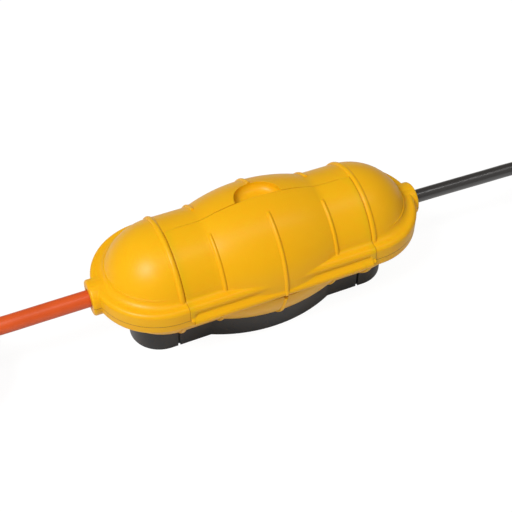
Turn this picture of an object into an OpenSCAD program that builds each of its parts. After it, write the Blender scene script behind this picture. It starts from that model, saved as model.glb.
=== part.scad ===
// Weatherproof capsule for the joint between two outdoor leads.
// X runs along the leads, Y from the latch flap (front, -Y) to the hinge (rear, +Y), Z is up.
// The floor is z = 0. The origin is under the middle of the capsule. All sizes are in millimetres.

/* [Capsule] */
// Height of the leads' common axis above the floor
axis_h = 49.1; // [48.5:0.1:54]
// Outer radius of the straight barrel and of the domes
barrel_r = 39.3; // [38.6:0.1:39.9]
// Outer radius of the belly at its middle
belly_r = 46.4; // [44.5:0.1:47]
// Half the length of the belly along X
belly_half = 41; // [36:0.5:45]
// Where each dome starts along X
dome_x = 68.5; // [68:0.1:69]
// Length of each dome along X
dome_len = 41.7; // [40:0.1:42]
// Wall of the shells
wall = 2.4; // [1.8:0.1:2.6]

/* [Ribs] */
// Width of the ring ribs where the domes start
ring_rib_w = 3.6; // [3:0.1:4.2]
// How far the ring ribs stand above the barrel
ring_rib_h = 1.3; // [0.8:0.1:1.6]
// Width of the thin ribs on the barrel and belly
rib_w = 2.6; // [2:0.1:3.4]
// How far the thin ribs stand above the skin
rib_h = 1.2; // [0.8:0.1:1.4]
// Angle from the top where the thin ribs of the upper half start
rib_start = 20; // [14:1:28]

/* [Flange] */
// Half the width of the flange
flange_half = 45; // [44.6:0.1:45.4]
// Centre of the round end of the flange along X
flange_x = 71.5; // [70.5:0.1:72]
// Height of the parting plane above the leads' axis
parting = 1; // [0.6:0.1:1.2]
// Height of the flange's upper face above the leads' axis
flange_up = 11; // [10.4:0.1:12]
// Depth of the flange's lower face below the leads' axis
flange_down = 6.5; // [6:0.1:7]
// Radius of the bead along the flange's upper edge
bead_r = 3.2; // [2.4:0.1:3.6]
// Radius of the hollow fillet between flange and body
cove_r = 5.8; // [5:0.1:6.2]
// Width of the rubber seal in the rim
gasket_w = 1.6; // [1.2:0.1:1.8]
// Depth of the rubber seal in the rim
gasket_h = 1.8; // [1.4:0.1:2.4]

/* [Collars] */
// Outer radius of the collars that the leads pass through
collar_r = 12.2; // [11.6:0.1:13]
// Distance of the collars' end faces from the middle
collar_end = 120; // [119:0.5:123]
// Thickness of a collar's end wall
collar_wall = 2.5; // [2:0.1:3]
// Clear space between a lead and a collar's end wall
collar_clear = 0.7; // [0.5:0.1:1.2]
// Outer radius of the rubber cable seals
seal_r = 9.8; // [9.2:0.1:10]

/* [Latch flap] */
// Half the length of the flap along X
flap_half = 63.6; // [62:0.1:64]
// Thickness of the flap
flap_t = 2; // [1.6:0.1:2.2]
// Gap round the flap
flap_gap = 0.4; // [0.3:0.05:0.5]
// How far the flap stands forward of the body at its lower edge
flap_proud = 0.8; // [0.4:0.1:1]
// Radius of the flap's upper corners
flap_corner_r = 6; // [3:0.5:9]
// Distance of the flap's hinge pin in front of the leads' axis
flap_pin_y = 44.6; // [44.4:0.1:45]
// Height of the flap's hinge pin relative to the leads' axis
flap_pin_z = -0.5; // [-0.8:0.1:-0.4]
// Radius of the flap's rolled lower lip
lip_r = 3.1; // [2.9:0.05:3.2]
// Radius of the flap's hinge pin
flap_pin_r = 1; // [0.8:0.05:1.1]
// Radius of the finger scoop behind the flap's upper edge
scoop_r = 16.4; // [14:0.1:18]
// Depth of the finger scoop
scoop_depth = 8; // [6:0.5:9]

/* [Rear hinge] */
// Distance of the rear hinge pins behind the leads' axis
hinge_y = 48.4; // [48.3:0.1:49.5]
// Radius of the rear hinge knuckles
knuckle_r = 3.2; // [2.8:0.1:3.2]
// Radius of the rear hinge pins
hinge_pin_r = 1.5; // [1.2:0.1:1.7]
// Distance of each rear hinge from the middle along X
hinge_x = 53; // [52:0.5:54]
// Length of the lid's knuckle in each rear hinge
lid_knuckle = 9; // [6:0.5:10]
// Length of each of the lower shell's two knuckles in a rear hinge
shell_knuckle = 5; // [4:0.5:5.5]

/* [Base] */
// Half the width of the base at its straight sides
base_half = 22; // [20:0.5:24]
// Centre of the base's round ends along X
base_x = 74; // [72:0.5:76]
// Half the width of the base at its middle
base_belly = 32.5; // [30:0.5:34]
// Half the length of the base's wider middle
base_belly_half = 45; // [42:0.5:47]
// Wall of the base
base_wall = 2.8; // [2.4:0.1:3.2]
// Thickness of the base's floor plates
base_floor = 2.6; // [2:0.1:3]
// Width of the upright grooves in the base's sides
groove_w = 1.6; // [1:0.1:2]
// Distance of the keyholes from the middle
keyhole_x = 82; // [80:0.5:84]
// Radius of a keyhole's round entry
keyhole_r = 4.5; // [4:0.1:5]
// Radius of a keyhole's narrow slot
keyslot_r = 2.2; // [1.8:0.1:2.4]
// Distance of the base screws from the middle along X
screw_x = 56; // [54:0.5:58]
// Distance of the base screws from the middle along Y
screw_y = 10; // [9:0.5:11]
// Radius of the base screws' shanks
screw_r = 1.8; // [1.5:0.1:2]

/* [Plugs and couplers] */
// Radius of a coupler's mouth
coupler_r = 24; // [23:0.1:24.4]
// Radius of a plug's shoulder
plug_r = 20; // [19.5:0.1:22]
// Radius of a plug's front, which goes into the coupler
nose_r = 18.4; // [18:0.1:18.6]
// Radial play between a plug's front and a coupler
nose_play = 0.9; // [0.6:0.05:1]
// Length of a plug's front
nose_len = 16.6; // [15:0.1:17]
// Radius of a live pin
pin_r = 2.4; // [2:0.05:2.5]
// Distance of each live pin from the centre
pin_off = 9.5; // [9:0.1:10]
// Length of a live pin beyond the plug's front
pin_len = 19; // [17:0.5:19.5]
// Play round a live pin in its contact
pin_play = 0.05; // [0.02:0.01:0.1]
// Length of the tapered strain reliefs
boot_len = 24; // [22:0.5:26]

/* [Leads] */
// Diameter of the orange lead
orange_d = 11.6; // [10.8:0.1:11.8]
// Diameter of the black lead
black_d = 9.7; // [9:0.1:10]

/* [Hidden] */
$fn = 96;
eps = 0.05;
play = 0.3;                                     // air between bodies that move past each other
front_reach = belly_r + flap_proud + rib_h;     // the flap's middle rib
rear_reach = hinge_y + knuckle_r;               // the rear hinge knuckles
axis_y = (front_reach - rear_reach) / 2;        // centres the capsule on the origin

// Body outline: a belly arc blended into two straight lengths, with an elliptical dome at each end.
dome_n = 16;
belly_n = 16;
blend_r = 18;
belly_sag = belly_r - barrel_r;
belly_arc = (pow(belly_half, 2) + pow(belly_sag, 2)) / (2 * belly_sag);
blend_x = sqrt(pow(belly_arc + blend_r, 2) - pow(belly_arc + blend_r - belly_sag, 2));
belly_edge = blend_x * belly_arc / (belly_arc + blend_r);
function belly_at(x) =
    abs(x) < belly_edge ? belly_r - belly_arc + sqrt(pow(belly_arc, 2) - x * x) :
    abs(x) < blend_x ? barrel_r + blend_r - sqrt(pow(blend_r, 2) - pow(blend_x - abs(x), 2)) : barrel_r;
function dome_points(side, inset) = [for (i = [0:dome_n])
    let (a = 90 * i / dome_n) [(barrel_r - inset) * cos(a), side * (dome_x + (dome_len - inset) * sin(a))]];
function reversed(list) = [for (i = [len(list) - 1:-1:0]) list[i]];
function body_outline(inset) = concat(
    reversed(dome_points(-1, inset)),
    [for (i = [-belly_n:belly_n]) let (x = blend_x * i / belly_n) [belly_at(x) - inset, x]],
    dome_points(1, inset));
function arc(c, r, a0, a1, n) = [for (i = [0:n]) let (a = a0 + (a1 - a0) * i / n) c + r * [cos(a), sin(a)]];

// Flange profiles as [distance from the centre line, height above the leads' axis]
bead_c = [flange_half - bead_r, flange_up - bead_r];
cove_c = [flange_half - 3.8, flange_up + cove_r];
lower_round = 3;
upper_flange = concat(
    [[0, parting], [flange_half, parting]], arc(bead_c, bead_r, 0, 90, 6),
    arc(cove_c, cove_r, 270, 190, 8), [[0, cove_c[1] - cove_r * sin(10)]]);
lower_flange = concat(
    [[0, parting], [flange_half, parting]],
    arc([flange_half - lower_round, lower_round - flange_down], lower_round, 0, -90, 6), [[0, -flange_down]]);
recess = flap_t + flap_gap;                     // depth of the lid's recess for the flap
rim_t = 3;                                      // thickness of the rims that meet in the parting plane
rim_half = barrel_r - recess - wall - 0.1;      // inner edge of the rims, under the lid's stepped-in wall
front_rim = flange_half - 4;                    // front edge of the lower shell's rim behind the flap
gasket_half = rim_half + 0.5 + gasket_w / 2;    // the seal's centre line
trough_r = lip_r + play;                        // hollow that the lip turns in
lug_r = flap_pin_r + 1;                         // ears that hold the flap's pin
lug_x0 = flap_half - 5.4;
lug_x1 = flap_half - 0.8;
pocket_x0 = dome_x + dome_len - 1.2;            // the cable seals' pocket inside a collar
pocket_x1 = collar_end - collar_wall;
scoop_top = axis_h + belly_r;

module on_axis() { translate([0, axis_y, axis_h]) children(); }
module along_x() { rotate([0, 90, 0]) children(); }
module extruded_x(length) { rotate([90, 0, 90]) linear_extrude(length, center = true) children(); }
module rod_x(x0, x1, r) { translate([x0, 0, 0]) along_x() cylinder(r = r, h = x1 - x0); }
module both_ends() { for (side = [-1, 1]) scale_side(side) children(); }
module scale_side(side) { if (side > 0) children(); else mirror([1, 0, 0]) children(); }
module block(low, high) { translate(low) cube(high - low); }
module turned_body(inset) { along_x() rotate_extrude() polygon(body_outline(inset)); }
module upper_half() { block([-150, -80, parting], [150, 80, 90]); }
module lower_half() { block([-150, -80, -70], [150, 80, parting]); }

// The rim's plan: straight sides and half-round ends, as a slab between two heights
module plan_slab(half, z0, z1) {
    translate([0, 0, z0]) linear_extrude(z1 - z0) {
        square([2 * flange_x, 2 * half], center = true);
        for (side = [-1, 1]) translate([side * flange_x, 0]) circle(r = half);
    }
}

// A flange: one profile carried round the two ends and along the straight sides
module flange(profile) {
    for (side = [-1, 1]) translate([side * flange_x, 0, 0]) rotate_extrude() polygon(profile);
    extruded_x(2 * flange_x) {
        polygon(profile);
        mirror([1, 0]) polygon(profile);
    }
}

// A rib round the body at x: a rounded ridge, as a turned ring
module rib_ring(x, radius, width, height) {
    ridge = [for (i = [0:8]) let (a = 180 * i / 8) [radius + height * sin(a), -width / 2 * cos(a)]];
    translate([x, 0, 0]) along_x() rotate_extrude()
        polygon(concat([[radius - 1.5, -width / 2]], ridge, [[radius - 1.5, width / 2]]));
}
module ring_ribs(grow = 0) {
    both_ends() rib_ring(dome_x, barrel_r, ring_rib_w + 2 * grow, ring_rib_h + grow);
}
module thin_ribs(grow = 0) {
    for (x = [-belly_half, 0, belly_half]) rib_ring(x, belly_at(x), rib_w + 2 * grow, rib_h + grow);
}
// The part of the upper half where thin ribs run: from rib_start off the top down to the flange
module rib_zone(side) {
    far = 2 * belly_r;
    extruded_x(3 * belly_half) polygon([
        [0, 0], [side * far * sin(rib_start), far * cos(rib_start)], [side * far, far * cos(rib_start)],
        [side * far, 0]]);
}

// Collars, with rounded outer rims
rim_round = 1.6;
module collars() {
    both_ends() along_x() rotate_extrude() polygon(concat(
        [[0, dome_x], [collar_r, dome_x]],
        arc([collar_r - rim_round, collar_end - rim_round], rim_round, 0, 90, 5), [[0, collar_end]]));
}
function cord_r(side) = (side < 0 ? orange_d : black_d) / 2;
module seal_pockets() {
    for (side = [-1, 1]) scale_side(side) {
        rod_x(pocket_x0, pocket_x1, seal_r);
        rod_x(dome_x, collar_end + 1, cord_r(side) + collar_clear);
    }
}

// The hollow inside the shells: the body less its wall, kept clear of the two rims
module hollow(inset) {
    difference() {
        turned_body(inset);
        difference() {
            block([-collar_end, -60, parting - rim_t], [collar_end, 60, parting + rim_t]);
            plan_slab(rim_half, -20, 20);
        }
    }
}

// The flap's plan seen from above, grown by a gap
module flap_plan(gap) {
    r = flap_corner_r + gap;
    half = flap_half + gap;
    polygon(concat([[-half, -70], [half, -70]], arc([half - r, gap - r], r, 0, 90, 8),
        arc([r - half, gap - r], r, 90, 180, 8)));
}
module flap_column(gap) { translate([0, 0, -20]) linear_extrude(100) flap_plan(gap); }
module flap_pin_axis() { translate([0, -flap_pin_y, flap_pin_z]) children(); }

// Finger scoop: a round cup sunk in the top, with a generous radius at its floor
module scoop(grow) {
    r = scoop_r + grow;
    d = scoop_depth + grow;
    floor_r = 6;
    intersection() {
        translate([0, 0, belly_r]) rotate_extrude() polygon(concat(
            [[0, -d]], arc([r - floor_r, floor_r - d], floor_r, -90, 0, 8), [[r, 8], [0, 8]]));
        block([-30, -7 - grow, 0], [30, 30, 80]);
    }
}

// Rear hinge: the pins' axis lies in the parting plane, outside everything that turns
module hinge_axis() { translate([0, hinge_y, parting]) children(); }
module shell_knuckles() {
    for (side = [-1, 1], end = [-1, 1]) {
        x = side * hinge_x + end * (lid_knuckle / 2 + play + shell_knuckle / 2);
        difference() {
            union() {
                hinge_axis() rod_x(x - shell_knuckle / 2, x + shell_knuckle / 2, knuckle_r);
                block([x - shell_knuckle / 2, rim_half + 1, parting - knuckle_r],
                    [x + shell_knuckle / 2, hinge_y, parting]);
            }
            hinge_axis() rod_x(x - shell_knuckle, x + shell_knuckle, hinge_pin_r);
        }
    }
}
module lid_knuckles() {
    for (side = [-1, 1]) difference() {
        union() {
            hinge_axis() rod_x(side * hinge_x - lid_knuckle / 2, side * hinge_x + lid_knuckle / 2, knuckle_r);
            block([side * hinge_x - lid_knuckle / 2, rim_half + 1, parting],
                [side * hinge_x + lid_knuckle / 2, hinge_y, parting + knuckle_r]);
        }
        hinge_axis() rod_x(side * hinge_x - 30, side * hinge_x + 30, hinge_pin_r + 0.05);
    }
}
module hinge_pins() color("silver") on_axis() {
    pin_half = lid_knuckle / 2 + play + shell_knuckle;
    for (side = [-1, 1]) hinge_axis()
        rod_x(side * hinge_x - pin_half, side * hinge_x + pin_half, hinge_pin_r);
}

// Lower shell
module lower_shell() color("gold") on_axis() {
    difference() {
        union() {
            intersection() {
                lower_half();
                difference() {
                    union() {
                        turned_body(0);
                        ring_ribs();
                        intersection() {
                            thin_ribs();
                            block([-60, -60, -60], [60, 60, -flange_down]);
                        }
                        flange(lower_flange);
                        collars();
                    }
                    hollow(wall);
                }
            }
            intersection() {
                turned_body(wall / 2);
                union() {
                    cradles();
                    screw_bosses();
                }
            }
            intersection() {
                lower_half();
                turned_body(0);
                flap_pin_axis() rod_x(-belly_half, belly_half, rib_relief + wall);
            }
            shell_knuckles();
        }
        seal_pockets();
        hinge_trough();
        rim_loop(gasket_w, parting - gasket_h, parting + 1);
        for (sx = [-1, 1], sy = [-1, 1]) translate([sx * screw_x, sy * screw_y, -60])
            cylinder(r = screw_r, h = 60 - screw_floor + screw_depth);
    }
    flap_lugs();
}
screw_floor = barrel_r + 1;                     // below the barrel's lowest skin
screw_depth = 12;
module screw_bosses() {
    for (sx = [-1, 1], sy = [-1, 1]) translate([sx * screw_x, sy * screw_y, -barrel_r])
        cylinder(r = screw_r + 2.2, h = screw_depth + 2);
}
// Cross ribs that carry the plug and coupler, and one at each end that steadies the lead
cradle_t = 2.2;
cradles_at = [[joint_x - 3.5, plug_r], [joint_x + 24, coupler_r - 1.2], [-86, orange_d / 2], [86, black_d / 2]];
module cradles() {
    for (c = cradles_at) difference() {
        block([c[0] - cradle_t / 2, -50, -50], [c[0] + cradle_t / 2, 50, -2]);
        rod_x(c[0] - 5, c[0] + 5, c[1] + 0.3);
        block([c[0] - 5, -c[1] - 0.3, 0], [c[0] + 5, c[1] + 0.3, 10]);
    }
}
// The hollow along the front rim that the flap's lip turns in, deeper where the belly and middle rib pass
rib_relief = trough_r + 2;
module hinge_trough() {
    half = flap_half + flap_gap;
    flap_pin_axis() {
        rod_x(-half, half, trough_r);
        rod_x(-belly_half / 4, belly_half / 4, trough_r + 0.8);
        rod_x(-rib_w / 2 - play, rib_w / 2 + play, rib_relief);
    }
    block([-half, -60, flap_pin_z], [half, -front_rim, parting + 1]);
}
module flap_lugs() {
    both_ends() difference() {
        union() {
            flap_pin_axis() rod_x(lug_x0, lug_x1, lug_r);
            block([lug_x0, -flap_pin_y, flap_pin_z], [lug_x1, -front_rim + 1, parting]);
        }
        flap_pin_axis() rod_x(lug_x0 - 1, lug_x1 + 1, flap_pin_r);
    }
}
module flap_pin() color("silver") on_axis() flap_pin_axis() rod_x(-lug_x1, lug_x1, flap_pin_r);

// A loop on the rim's centre line, broken at the collars
module rim_loop(width, z0, z1) {
    difference() {
        plan_slab(gasket_half + width / 2, z0, z1);
        plan_slab(gasket_half - width / 2, z0 - 1, z1 + 1);
        both_ends() block([dome_x + dome_len - 8, -seal_r - 1, -20], [150, seal_r + 1, 20]);
    }
}
module rim_seal() color("dimgray") on_axis() rim_loop(gasket_w, parting - gasket_h, parting - eps);

// Cable seals: a split rubber bush in each collar, with a clamping lip at both ends
module cable_seal(side, upper) {
    play_r = upper ? 0.15 : 0;
    scale_side(side) intersection() {
        difference() {
            rod_x(pocket_x0, pocket_x1, seal_r);
            rod_x(pocket_x0 - 1, pocket_x1 + 1, cord_r(side) + play_r);
            rod_x(pocket_x0 + 2, pocket_x1 - 2, cord_r(side) + 1.2);
        }
        if (upper) block([0, -20, parting + eps], [150, 20, 20]);
        else block([0, -20, -20], [150, 20, parting]);
    }
}
module lower_seal_left() color("dimgray") on_axis() cable_seal(-1, false);
module lower_seal_right() color("dimgray") on_axis() cable_seal(1, false);
module upper_seal_left() color("dimgray") on_axis() cable_seal(-1, true);
module upper_seal_right() color("dimgray") on_axis() cable_seal(1, true);

// Lid: the upper shell, with a recess over its front quarter for the flap
module lid() color("gold") on_axis() {
    difference() {
        union() {
            intersection() {
                translate([0, 0, eps]) upper_half();
                difference() {
                    union() {
                        difference() {
                            union() {
                                turned_body(0);
                                ring_ribs();
                                intersection() { thin_ribs(); rib_zone(1); }
                                flange(upper_flange);
                                collars();
                            }
                            flap_column(flap_gap);
                        }
                        intersection() {
                            turned_body(recess);
                            block([-80, -front_rim, 0], [80, 5, 80]);
                        }
                    }
                    lid_hollow();
                }
            }
            intersection() { turned_body(recess); scoop(wall); }
            intersection() { turned_body(0); scoop(wall); block([-40, flap_gap, 0], [40, 60, 80]); }
            lid_knuckles();
        }
        scoop(0);
        seal_pockets();
    }
}
// The lid's wall steps in behind the flap, and keeps its thickness all over
module lid_hollow() {
    hollow(recess + wall);
    intersection() {
        hollow(wall);
        union() {
            block([-150, flap_gap + wall, -5], [150, 80, 80]);
            both_ends() block([flap_half + flap_gap + wall, -80, -5], [150, 80, 80]);
        }
    }
}

// Latch flap: a skin over the lid's front quarter, with a bead, a groove and a rolled lip below
lip_top = 3.6;
groove_top = 6.2;
flap_lower = flange_half - flap_t;
flap_edge = concat(
    [[0, flap_pin_z], [flap_pin_y, flap_pin_z]], arc([flap_pin_y, flap_pin_z], lip_r, 0, 25, 3),
    [[flap_pin_y + lip_r - 0.5, lip_top - 1], [flange_half + 1, lip_top], [flange_half - 0.7, lip_top + 0.5],
    [flange_half - 0.7, groove_top - 0.7], [flange_half, groove_top]],
    arc(bead_c, bead_r, 0, 90, 6), arc(cove_c, cove_r, 270, 190, 8), [[0, cove_c[1] - cove_r * sin(10)]]);
flap_inside = [[0, -20], [flap_lower - 0.6, -20], [flap_lower - 0.6, flange_up - bead_r],
    [flap_lower - bead_r + 0.4, flange_up - flap_t], [cove_c[0] - 1.8, flange_up - flap_t + 0.4],
    [cove_c[0] - cove_r - 0.5, flange_up + 4], [0, flange_up + 4]];
module flap_forward() { translate([0, -flap_proud, 0]) children(); }
module latch_flap() color("gold") on_axis() {
    difference() {
        union() {
            intersection() {
                flap_column(0);
                block([-80, -80, flap_pin_z], [80, 0, 80]);
                difference() {
                    union() {
                        flap_forward() turned_body(0);
                        extruded_x(2 * flap_half) mirror([1, 0]) polygon(flap_edge);
                        intersection() {
                            flap_forward() thin_ribs();
                            rib_zone(-1);
                        }
                    }
                    flap_forward() turned_body(flap_t);
                    extruded_x(2 * flap_half + 2) mirror([1, 0]) polygon(flap_inside);
                }
            }
            flap_pin_axis() rod_x(-flap_half, flap_half, lip_r);
        }
        flap_pin_axis() rod_x(-flap_half - 1, flap_half + 1, flap_pin_r + 0.05);
        both_ends() lug_notch();
    }
}
// Room behind the lip for an ear of the lower shell, through the flap's whole turn
module lug_notch() {
    flap_pin_axis() rod_x(lug_x0 - play, flap_half + 1, lug_r + play);
    block([lug_x0 - play, -flap_pin_y, -10], [flap_half + 1, -30, parting + play]);
    block([lug_x0 - play, -flap_pin_y - 1, -10], [flap_half + 1, -30, flap_pin_z - 2]);
}

// Base: a waisted plinth that the lower shell nests in
base_h = 20;
bulge_sag = base_belly - base_half;
bulge_r = (pow(base_belly_half, 2) + pow(bulge_sag, 2)) / (2 * bulge_sag);
module base_plan(inset) {
    square([2 * base_x, 2 * (base_half - inset)], center = true);
    for (side = [-1, 1]) translate([side * base_x, 0]) circle(r = base_half - inset);
    for (side = [-1, 1]) intersection() {
        translate([0, side * (base_belly - bulge_r)]) circle(r = bulge_r - inset, $fn = 256);
        translate([-base_belly_half, side > 0 ? 0 : -base_belly]) square([2 * base_belly_half, base_belly]);
    }
}
module base() color("#2b2b2d") {
    difference() {
        union() {
            difference() {
                translate([0, axis_y, 0]) linear_extrude(base_h) base_plan(0);
                translate([0, axis_y, base_floor]) linear_extrude(base_h) base_plan(base_wall);
                translate([0, axis_y, -1]) linear_extrude(base_h) intersection() {
                    base_plan(base_wall);
                    square([2 * (base_belly_half - 6), 100], center = true);
                }
            }
            for (sx = [-1, 1], sy = [-1, 1]) translate([sx * screw_x, axis_y + sy * screw_y, 0])
                cylinder(r = screw_head_r + 2, h = base_h);
        }
        on_axis() {
            turned_body(-eps);
            ring_ribs(eps);
            thin_ribs(eps);
        }
        for (sx = [-1, 1], sy = [-1, 1]) translate([sx * dome_x, axis_y + sy * base_half, base_h / 2])
            cube([groove_w, 3.2, base_h + 2], center = true);
        for (sx = [-1, 1], sy = [-1, 1]) translate([sx * screw_x, axis_y + sy * screw_y, -1]) {
            cylinder(r = screw_r + 0.3, h = base_h);
            cylinder(r = screw_head_r + 0.3, h = screw_head_z + screw_head_h + 1);
        }
        for (side = [-1, 1]) scale_side(side) translate([0, axis_y, 0]) keyhole();
    }
}
module keyhole() {
    slot_end = keyhole_x + keyhole_r + 2.5;
    translate([keyhole_x, 0, -1]) cylinder(r = keyhole_r, h = base_floor + 2);
    translate([slot_end, 0, -1]) cylinder(r = keyslot_r, h = base_floor + 2);
    block([keyhole_x, -keyslot_r, -1], [slot_end, keyslot_r, base_floor + 1]);
}
screw_head_r = 3.6;
screw_head_h = 2.4;
screw_head_z = 1.2;
module base_screws() color("silver") {
    for (sx = [-1, 1], sy = [-1, 1]) translate([sx * screw_x, axis_y + sy * screw_y, screw_head_z]) {
        difference() {
            cylinder(r = screw_head_r, h = screw_head_h);
            for (a = [0, 90]) rotate(a) translate([0, 0, 0.5]) cube([4, 0.9, 1.4], center = true);
        }
        cylinder(r = screw_r, h = axis_h - screw_floor + screw_depth - 1 - screw_head_z);
    }
}

// Plug: points to +X, its shoulder at x = 0
plug_back = 26;
module plug_body() {
    along_x() rotate_extrude() difference() {
        polygon([[0, 0], [plug_r, 0], [plug_r, -7], [plug_r - 2, -10], [plug_r - 5, -20],
            [plug_r - 9, -plug_back], [0, -plug_back]]);
        translate([0, -8]) square([nose_r - 2, 9]);
        translate([0, -plug_back - 1]) square([4, plug_back]);
    }
}
module plug_nose() {
    difference() {
        union() {
            rod_x(-8, 0, nose_r - 2);
            rod_x(0, nose_len, nose_r);
        }
        for (side = [-1, 1]) {
            translate([0, side * pin_off, 0]) rod_x(-9, nose_len + 1, pin_r);
            block([-0.5, -3.1, side > 0 ? nose_r - 1.7 : -nose_r - 1],
                [nose_len + 1, 3.1, side > 0 ? nose_r + 1 : 1.7 - nose_r]);
        }
    }
}
module plug_pins() {
    tip = 1.6;
    for (side = [-1, 1]) translate([0, side * pin_off, 0]) along_x() rotate_extrude() polygon(concat(
        [[0, -8], [pin_r, -8]], arc([pin_r - tip, nose_len + pin_len - tip], tip, 0, 90, 5),
        [[0, nose_len + pin_len]]));
}
module plug_earth() {
    for (side = [-1, 1]) block([0, -3, side > 0 ? nose_r - 1.7 : -nose_r + 0.7],
        [nose_len - 1, 3, side > 0 ? nose_r - 0.7 : 1.7 - nose_r]);
}
// Strain relief: a tapered sleeve with grip rings, running to +X from x = 0
module boot(cord) {
    rings = 4;
    wide = 9.4;
    slim = cord + 1.1;
    along_x() rotate_extrude() difference() {
        union() {
            polygon([[0, 0], [wide, 0], [slim, boot_len], [0, boot_len]]);
            for (i = [1:rings]) let (x = boot_len * i / (rings + 1), r = wide + (slim - wide) * x / boot_len)
                translate([0, x - 1]) square([r + 0.7, 2]);
        }
        translate([0, 1]) square([cord, boot_len]);
    }
}

// Coupler: its mouth at x = 0 opens to -X, and its back is at +X
coupler_back = 54;
mouth_depth = nose_len + 0.9;
insert_r = nose_r - 1.4;
insert_end = mouth_depth + pin_len + 3;         // the insert's back, clear of the pins' tips
module coupler_body() {
    along_x() rotate_extrude() difference() {
        polygon([[0, 0], [coupler_r - 1, 0], [coupler_r, 1], [coupler_r, 6], [coupler_r - 1.2, 8],
            [coupler_r - 1.2, 28], [coupler_r - 4.6, insert_end + 1], [12.5, coupler_back], [0, coupler_back]]);
        translate([0, -1]) square([nose_r + nose_play, mouth_depth + 1]);
        square([insert_r, insert_end]);
        square([4, coupler_back + 1]);
    }
}
module coupler_insert() {
    difference() {
        rod_x(mouth_depth, insert_end, insert_r);
        for (side = [-1, 1]) translate([0, side * pin_off, 0]) {
            rod_x(mouth_depth - 1, coupler_back, pin_r + 0.3);
            rod_x(mouth_depth + 1.5, coupler_back, contact_r);
        }
    }
}
contact_r = pin_r + 1.3;
module coupler_contacts() {
    for (side = [-1, 1]) translate([0, side * pin_off, 0]) difference() {
        rod_x(mouth_depth + 1.5, insert_end, contact_r);
        rod_x(mouth_depth, mouth_depth + pin_len + 1, pin_r + pin_play);
    }
}
module coupler_earth() {
    low = nose_r - 0.5;
    high = nose_r + nose_play - 0.2;
    for (side = [-1, 1]) block([2, -2.5, side > 0 ? low : -high], [mouth_depth, 2.5, side > 0 ? high : -low]);
}

// The joint inside the capsule
joint_x = -13;
module orange_plug_place() { on_axis() translate([joint_x, 0, 0]) children(); }
module black_coupler_place() { on_axis() translate([joint_x + 0.4, 0, 0]) children(); }
module orange_plug_body() color("#1f1f21") orange_plug_place() plug_body();
module orange_plug_nose() color("#3a3a3c") orange_plug_place() plug_nose();
module orange_plug_pins() color("silver") orange_plug_place() plug_pins();
module orange_plug_earth() color("silver") orange_plug_place() plug_earth();
module orange_plug_boot() color("#1f1f21") orange_plug_place() translate([-plug_back, 0, 0])
    mirror([1, 0, 0]) boot(orange_d / 2);
module black_coupler_body() color("#1f1f21") black_coupler_place() coupler_body();
module black_coupler_insert() color("#3a3a3c") black_coupler_place() coupler_insert();
module black_coupler_contacts() color("goldenrod") black_coupler_place() coupler_contacts();
module black_coupler_earth() color("silver") black_coupler_place() coupler_earth();
module black_coupler_boot() color("#1f1f21") black_coupler_place() translate([coupler_back, 0, 0])
    boot(black_d / 2);

// Leads. Each runs straight out of its collar, comes down over the near fold of a hank of its own spare
// length, winds down the hank, and ends inside it in a coupler or a plug that lies on the floor.
tie_t = 1;                                      // the ties' thickness, which the hanks stand on
orange_fold_r = 35;
black_fold_r = 36;
orange_hank_x = [-231, -385];                   // fold centres, near and far
black_hank_x = [272, 414];
orange_layers = 3;
black_layers = 4;
orange_cord_start = joint_x - plug_back - 1;
black_cord_start = joint_x + 0.4 + coupler_back + 1;
orange_route = [[orange_cord_start, axis_y, axis_h], [-60, axis_y, axis_h], [-90, axis_y, axis_h],
    [-120, axis_y, axis_h], [-150, axis_y, axis_h], [-176, axis_y, axis_h], [-187, -0.4, 48.4], [-197, 3.2, 47.3],
    [-206, 9, 46.1], [-213, 16.7, 45], [-220, 24.4, 44], [-229, 30.2, 42.9], [-239, 33.8, 42], [-250, 35, 41.6],
    [-280, 35, 40.4], [-310, 35, 36.8], [-350, 35, 31.9], [-385, 35, 30]];
black_route = [[black_cord_start, axis_y, axis_h], [60, axis_y, axis_h], [90, axis_y, axis_h],
    [120, axis_y, axis_h], [150, axis_y, axis_h], [180, axis_y, axis_h], [208, axis_y, 49], [218, -2.8, 48.5],
    [227, -6.1, 47.9], [235, -11.6, 47.2], [242, -18.8, 46.5], [249, -26, 45.9], [257, -31.5, 45.3],
    [266, -34.8, 44.8], [276, -36, 44.6], [306, -36, 43.7], [340, -36, 40], [374, -36, 36.3], [414, -36, 35]];
orange_tail_route = [[-231, 35, 6.8], [-242, 33.8, 7.5], [-253, 30.4, 9.3], [-263, 24.9, 11.5], [-271, 17.5, 13.8],
    [-280, 10.1, 16.2], [-290, 4.6, 18.9], [-300, 1.2, 21.3], [-311, 0, 23.2], [-323, 0, 24], [-346, 0, 24]];
black_tail_route = [[272, -36, 5.9], [283, -34.8, 6.5], [293, -31.3, 8], [302, -25.6, 9.9], [309, -18, 11.8],
    [317, -10.4, 13.7], [326, -4.7, 16], [336, -1.2, 18], [347, 0, 19.5], [356, 0, 20], [379, 0, 20]];
orange_end_x = -346;
black_end_x = 379;

function unit(v) = v / norm(v);
function tangent(p, i) = unit(p[min(i + 1, len(p) - 1)] - p[max(i - 1, 0)]);
function ring(p, i, r, n) = let (t = tangent(p, i), s = unit(cross([0, 0, 1], t)), u = cross(t, s))
    [for (k = [0:n - 1]) let (a = 360 * k / n) p[i] + r * (cos(a) * s + sin(a) * u)];
// A closed tube of radius r through the points of route p
module tube(p, r, n = 12) {
    last = len(p) - 1;
    points = [for (i = [0:last]) each ring(p, i, r, n)];
    sides = [for (i = [0:last - 1], k = [0:n - 1]) let (m = (k + 1) % n)
        [i * n + k, (i + 1) * n + k, (i + 1) * n + m, i * n + m]];
    polyhedron(points, concat(sides, [[for (k = [0:n - 1]) k]], [[for (k = [n - 1:-1:0]) last * n + k]]));
}
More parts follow.
